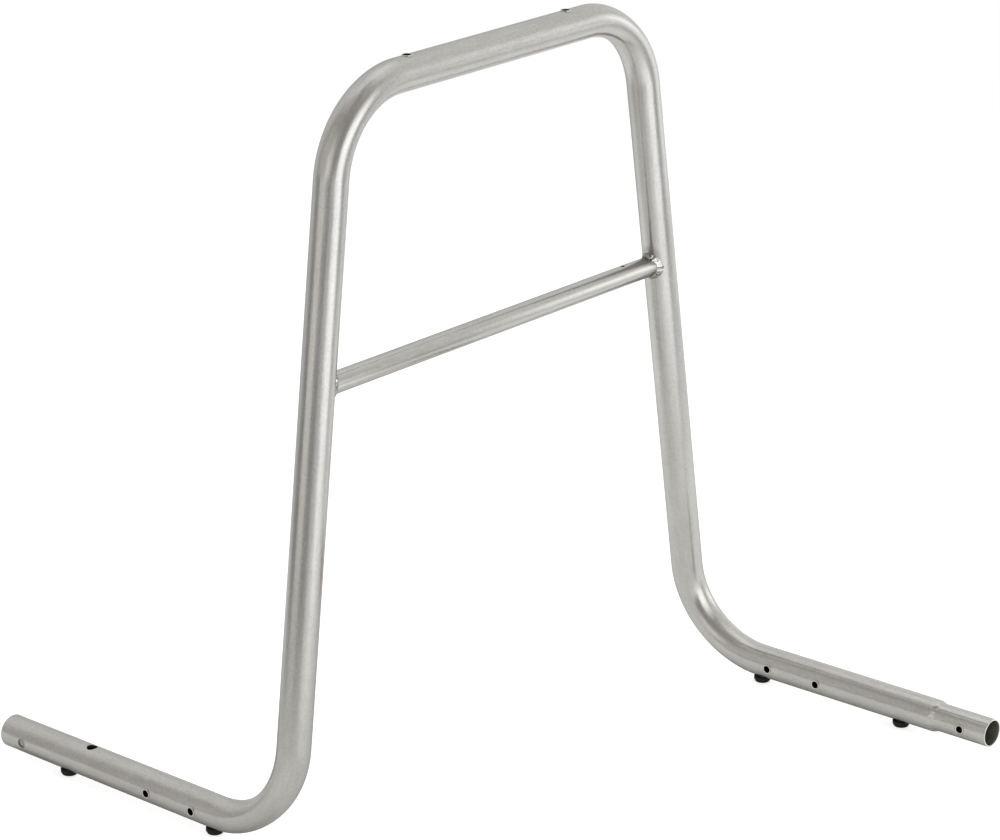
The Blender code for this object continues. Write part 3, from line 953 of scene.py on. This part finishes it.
class Nodes:
    """The node tree of a material or of the world."""

    def __init__(self, tree):
        self.tree = tree

    def node(self, kind, settings=None, inputs=None, output=0):
        """Add a node: its settings first, then the values or links of its sockets."""
        made = self.tree.nodes.new(kind)
        for name, value in (settings or {}).items():
            setattr(made, name, value)
        for name, value in (inputs or {}).items():
            self.feed(made.inputs[name], value)
        return Value(self, made.outputs[output]) if made.outputs else None

    def feed(self, socket, value):
        """Link a value to a socket, or set it there."""
        if isinstance(value, Value):
            self.tree.links.new(value.socket, socket)
        else:
            socket.default_value = value

    def step(self, value, start, end):
        """0 up to start and 1 from end on, with a smooth change between, either way round."""
        return self.node("ShaderNodeMapRange", {"interpolation_type": "SMOOTHSTEP"},
                         {"Value": value, "From Min": start, "From Max": end})

    def mix(self, share, *colours):
        """A colour between two colours."""
        first, second = (colour if isinstance(colour, Value) else (*colour, 1)
                         for colour in colours)
        return self.node("ShaderNodeMix", {"data_type": "RGBA"},
                         {0: share, 6: first, 7: second}, output=2)

    def vector(self, operation, *vectors, output="Vector"):
        """A Vector Math node on these vectors."""
        return self.node("ShaderNodeVectorMath", {"operation": operation},
                         dict(enumerate(vectors)), output)

    def scaled(self, vector, scale):
        """A vector times another, axis by axis."""
        return self.vector("MULTIPLY", vector, scale)

    def dot(self, vector, direction):
        """How far a vector goes in a direction."""
        return self.vector("DOT_PRODUCT", vector, direction, output="Value")

    def coordinate(self, vector, axis):
        """One coordinate of a vector."""
        return self.node("ShaderNodeSeparateXYZ", {}, {0: vector}, output=axis)

    def noise(self, vector, scale, detail=2.0, roughness=0.5):
        """Noise from -0.5 to 0.5 or so."""
        return self.node("ShaderNodeTexNoise", {}, {"Vector": vector, "Scale": scale,
                                                    "Detail": detail, "Roughness": roughness}) - 0.5

    def attribute(self, name, output):
        """A value kept on the mesh."""
        return self.node("ShaderNodeAttribute", {"attribute_name": name}, output=output)

    def place(self):
        """Where a point is in the part's frame."""
        return self.node("ShaderNodeTexCoord", output="Object")

    def distance(self, point):
        """Distance from a point in the part's frame."""
        return self.vector("DISTANCE", self.place(), point, output="Value")

    def bump(self, height, reach, below=None):
        """Normals of a height in metres, on top of those below."""
        inputs = {"Height": height, "Distance": reach, "Strength": 1.0}
        if below:
            inputs["Normal"] = below
        return self.node("ShaderNodeBump", {}, inputs)


class Finish(Nodes):
    """A procedural material."""

    def __init__(self, name, metallic):
        self.material = bpy.data.materials.new(name)
        self.material.use_nodes = True
        super().__init__(self.material.node_tree)
        self.shader = self.tree.nodes["Principled BSDF"]
        self.set("Metallic", metallic)

    def set(self, socket, value):
        """Set or drive one of the shader's sockets."""
        self.feed(self.shader.inputs[socket], value)

    def put_on(self, *wearers):
        """Give this finish to pieces."""
        for piece in wearers:
            piece.data.materials.clear()
            piece.data.materials.append(self.material)


# Finishes

def tube_finish():
    """Satin stainless tube: drawing lines, mottling, a die mark, heat tint, painted shade and
    highlights.
    """
    finish = Finish("satin_tube", 1.0)
    drawn = finish.attribute("drawn", "Vector")
    depth = finish.attribute("wall_depth", "Fac")
    # The inside of the tube: its duller mill finish, with painted shade
    bore = finish.step(depth, 0.3, 0.9)
    # Painted shade on the walls of the holes
    drilled = finish.step(depth, 0.02, 0.2) * finish.step(depth, 0.98, 0.8)

    def pattern(squash, scale, detail, roughness=0.5):
        """Noise drawn out along the tube: the smaller its squash, the longer."""
        return finish.noise(finish.scaled(drawn, (1, 1, squash)), scale, detail, roughness)

    lines = pattern(0.05, 650, 3)
    streaks = pattern(0.16, 330, 3, 0.6)
    waves = pattern(0.35, 55, 1)
    blotches = pattern(0.4, 38, 4, 0.6)
    specks = pattern(0.6, 480, 4, 0.7)
    pocks = pattern(1, 120, 1)
    halo = weld_halo(finish)
    # Painted highlight on the cut rims
    rim = finish.step(finish.attribute("rim", "Fac"), 0.5, 0.9)
    mark, swage = swage_marks(finish, drawn)
    tint = finish.mix(finish.step(blotches, -0.25, 0.3), TUBE_DARK, TUBE_LIGHT)
    tint = finish.scaled(tint, 1 + 0.17 * streaks + 0.45 * specks - 0.35 * mark)
    # Heat tint, with painted shade above the welds
    tint = finish.mix(halo * (0.7 + 2.4 * specks), tint, HEAT_TINT_AND_SHADE)
    tint = finish.mix(bore * 0.9, tint, BORE_METAL_AND_SHADE)
    tint = finish.mix(drilled, tint, HOLE_WALL_SHADE)
    finish.set("Base Color", finish.mix(rim, tint, RIM_HIGHLIGHT))
    finish.set("Roughness", TUBE_ROUGHNESS + 0.10 * lines + 0.06 * blotches + 0.08 * specks
               + 0.12 * halo + 0.22 * bore)
    finish.set("Specular Tint", TUBE_EDGE_LIGHT)
    waviness = finish.bump(waves, TUBE_WAVES_H)
    grain = finish.bump(specks + lines, TUBE_GRAIN_H, waviness)
    dents = swage * (blotches + 0.6 * pocks) - DIE_MARK_DEPTH * mark
    finish.set("Normal", finish.bump(dents, SWAGE_DENTS_H, grain))
    return finish


def swage_marks(finish, drawn):
    """Where the swaging die left its score along the spigot, and where it bit at the shoulder."""
    outward = Vector((-math.cos(DIE_MARK_RISE), 0, math.sin(DIE_MARK_RISE)))
    _, turn = drill_spot(SPIGOT_RUN, SPIGOT_TIP, outward)
    across = Vector((math.sin(turn), -math.cos(turn), 0))
    above = Vector((math.cos(turn), math.sin(turn), 0))
    along = finish.coordinate(drawn, "Z")
    score = finish.step(abs(finish.dot(drawn, across)), DIE_MARK_W, DIE_MARK_W / 3)
    on_top = finish.step(finish.dot(drawn, above), 0, SPIGOT_R / 2)
    mark = score * on_top * finish.step(along, SPIGOT_START, SPIGOT_START + DIE_MARK_W)
    low, lower, upper, high = (SPIGOT_START + SWAGE_LENGTH * share
                               for share in (-1.3, -0.6, -0.3, 0.4))
    bite = finish.step(along, low, lower) * finish.step(along, high, upper)
    return mark, bite


def weld_halo(finish):
    """How strong the heat tint and painted shade are: full above the welds and nothing away from
    them.
    """
    socket_side, spigot_side = (
        strength * finish.step(finish.distance(middle(node) + HALO_RISE), *HALO_REACH)
        for node, strength in (("weld_socket_side", SOCKET_HALO), ("weld_spigot_side", SPIGOT_HALO)))
    return socket_side + spigot_side


def weld_finish():
    """Weld metal: polished by brushing and given painted highlights; elsewhere dull and pitted, with
    painted shade between ripples.
    """
    finish = Finish("weld_bead", 1.0)
    place = finish.place()
    crest = finish.attribute("crest", "Fac")
    brushed = finish.attribute("brushed", "Fac")
    patches = finish.noise(place, 160, 3)
    specks = finish.noise(place, 760, 3, 0.7)
    # Polished patches, lightened further as painted highlights
    shine = finish.step(brushed + 1.2 * patches + 1.6 * specks, 0.1, 0.8)
    pits = finish.step(specks + 0.4 * patches, 0.0, -0.09)
    # Painted shade between the ripples
    groove_shade = finish.step(crest, 0.55, 0.2)
    tint = finish.mix(shine, WELD_DULL, WELD_BRUSHED_GLINT)
    finish.set("Base Color", finish.mix(pits * 0.8 + groove_shade * 0.75, tint, WELD_DARK))
    finish.set("Roughness", 0.36 - 0.20 * shine + 0.3 * pits)
    finish.set("Normal", finish.bump(specks, WELD_PITS_H))
    return finish


def plated_finish():
    """Zinc-plated steel, with painted shade in the nuts' bores and a painted highlight on their
    lips.
    """
    finish = Finish("zinc_plate", 1.0)
    place = finish.place()
    patches = finish.noise(place, 420, 3)
    bore = finish.attribute("bore", "Fac")
    # Painted highlight on the lips
    lip = finish.step(finish.attribute("lip", "Fac"), 0.2, 0.9)
    plating = finish.scaled(NUT_PLATE, 1 + 0.8 * patches)
    plating = finish.mix(lip, plating, NUT_LIP_HIGHLIGHT)
    # Painted shade in the bores
    finish.set("Base Color", finish.mix(bore, plating, NUT_BORE_SHADE))
    finish.set("Roughness", 0.3 + 0.3 * patches + 0.3 * bore)
    finish.set("Normal", finish.bump(finish.noise(place, 2500, 2), PLATING_GRAIN_H))
    return finish


def rubber_finish():
    """Moulded black rubber, with dust in its pores."""
    finish = Finish("moulded_rubber", 0.0)
    place = finish.place()
    pores = finish.noise(place, 2200, 3)
    dust = finish.noise(place, 300, 4)
    finish.set("Base Color", finish.mix(finish.step(dust, -0.1, 0.4), RUBBER_BLACK, RUBBER_DUST))
    finish.set("Roughness", 0.6 + 0.2 * dust)
    finish.set("Specular IOR Level", 0.35)
    finish.set("Normal", finish.bump(pores, RUBBER_PORES_H))
    return finish


# Studio

def level_way(room, way):
    """A direction without its height."""
    return room.vector("NORMALIZE", room.scaled(way, (1, 1, 0)))


def panel_light(room, way, panel, strength, below):
    """Light of one panel with soft edges, in a level direction, added to the light below."""
    azimuth, inner, outer, _, _, colour = panel
    turn = math.radians(azimuth)
    facing = room.dot(way, (math.sin(turn), -math.cos(turn), 0))
    glow = room.step(facing, math.cos(math.radians(outer)), math.cos(math.radians(inner)))
    return room.vector("MULTIPLY_ADD", glow * strength, colour, below)


def make_world():
    """White to the camera. To everything else, a dim room with bright panels round the object."""
    world = bpy.data.worlds.new("studio")
    bpy.context.scene.world = world
    world.use_nodes = True
    world.node_tree.nodes.clear()
    room = Nodes(world.node_tree)
    way = room.node("ShaderNodeTexCoord", output="Generated")
    height = room.coordinate(way, "Z")
    flat = level_way(room, way)
    light = SKY_LIGHT
    for panel in SKY_PANELS:
        low, high = (math.sin(math.radians(elevation)) for elevation in panel[3:5])
        light = panel_light(room, flat, panel, room.step(height, high, low), light)
    ground = GROUND_LIGHT
    for panel in FLOOR_PANELS:
        ground = panel_light(room, flat, panel, 1.0, ground)
    light = room.mix(room.step(height, -HORIZON_BLUR, HORIZON_BLUR), ground, light)
    seen = room.node("ShaderNodeLightPath", output="Is Camera Ray")
    background = room.node("ShaderNodeBackground", {},
                           {"Color": room.mix(seen, light, (1, 1, 1)), "Strength": 1.0})
    room.node("ShaderNodeOutputWorld", {}, {"Surface": background})


def leg_shades(finish):
    """Share of the light that each leg keeps from the floor, as a long tube over it does."""
    place = finish.place()
    across = finish.coordinate(place, "X")
    along = finish.coordinate(place, "Y")
    shades = []
    for x, near, far in ((SOCKET_X, LOOP_Y, SOCKET_END.y), (SPIGOT_X, SPIGOT_TIP.y, LOOP_Y)):
        off = across - x
        beside = (finish.step(along, near - SHADE_EDGE, near + SHADE_EDGE)
                  * finish.step(along, far + SHADE_EDGE, far - SHADE_EDGE))
        shades.append(beside * (TUBE_R * LEG_Z / (off * off + LEG_Z ** 2)))
    return shades


def make_floor():
    """A pale floor that keeps the object's shadow. In the metal it shows the panels' painted sheen,
    with a painted shadow of the legs.
    """
    select()
    bpy.ops.mesh.primitive_circle_add(vertices=FLOOR_SIDES, radius=FLOOR_R, fill_type="NGON",
                                      location=(0, 0, -FLOOR_GAP))
    floor = bpy.context.object
    floor.name = "floor"
    apply_place(floor)
    finish = Finish("floor_paper", 0.0)
    reach = finish.distance((0, 0, 0))
    far = finish.step(reach, *PAPER_SPREAD)
    finish.set("Base Color", finish.mix(far, PAPER_NEAR, PAPER_FAR))
    finish.set("Roughness", 1.0)
    finish.set("Specular IOR Level", 0.0)
    finish.set("Emission Strength", 1.0)
    flat = level_way(finish, finish.place())
    # Painted light: a glow that only reflections see, with the panels painted on it
    sheen = finish.mix(far, FLOOR_NEAR, FLOOR_FAR)
    for panel in FLOOR_PANELS:
        sheen = panel_light(finish, flat, panel, finish.step(reach, *panel[3:5]), sheen)
    # Painted shadow of the legs in that glow
    for shade in leg_shades(finish):
        sheen = finish.scaled(sheen, 1 - shade)
    mirrored = finish.node("ShaderNodeLightPath", output="Is Glossy Ray")
    seen = finish.node("ShaderNodeLightPath", output="Is Camera Ray")
    glow = WHITE_NEAR + (WHITE_FAR - WHITE_NEAR) * far
    white = finish.mix(seen * glow, (0, 0, 0), (1, 1, 1))
    finish.set("Emission Color", finish.mix(mirrored, white, sheen))
    finish.put_on(floor)
    return floor


tube_finish().put_on(bent_tube, cross_tube)
weld_finish().put_on(*weld_beads)
plated_finish().put_on(*inserts, *screws)
rubber_finish().put_on(*rubber_feet)

make_world()
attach(make_floor(), "foot_1_stud")


# Camera

def make_camera():
    """The photograph's view."""
    data = bpy.data.cameras.new("camera")
    data.sensor_width = CAMERA_SENSOR
    data.lens = CAMERA_LENS
    camera = bpy.data.objects.new("camera", data)
    bpy.context.collection.objects.link(camera)
    turn = Matrix.Rotation(math.radians(CAMERA_AZIMUTH), 4, "Z")
    tilt = Matrix.Rotation(math.radians(90 - CAMERA_ELEVATION), 4, "X")
    roll = Matrix.Rotation(math.radians(CAMERA_ROLL), 4, "Z")
    camera.matrix_world = Matrix.Translation(CAMERA_PLACE) @ turn @ tilt @ roll
    bpy.context.scene.camera = camera


make_camera()
bpy.context.scene.view_settings.view_transform = "Standard"
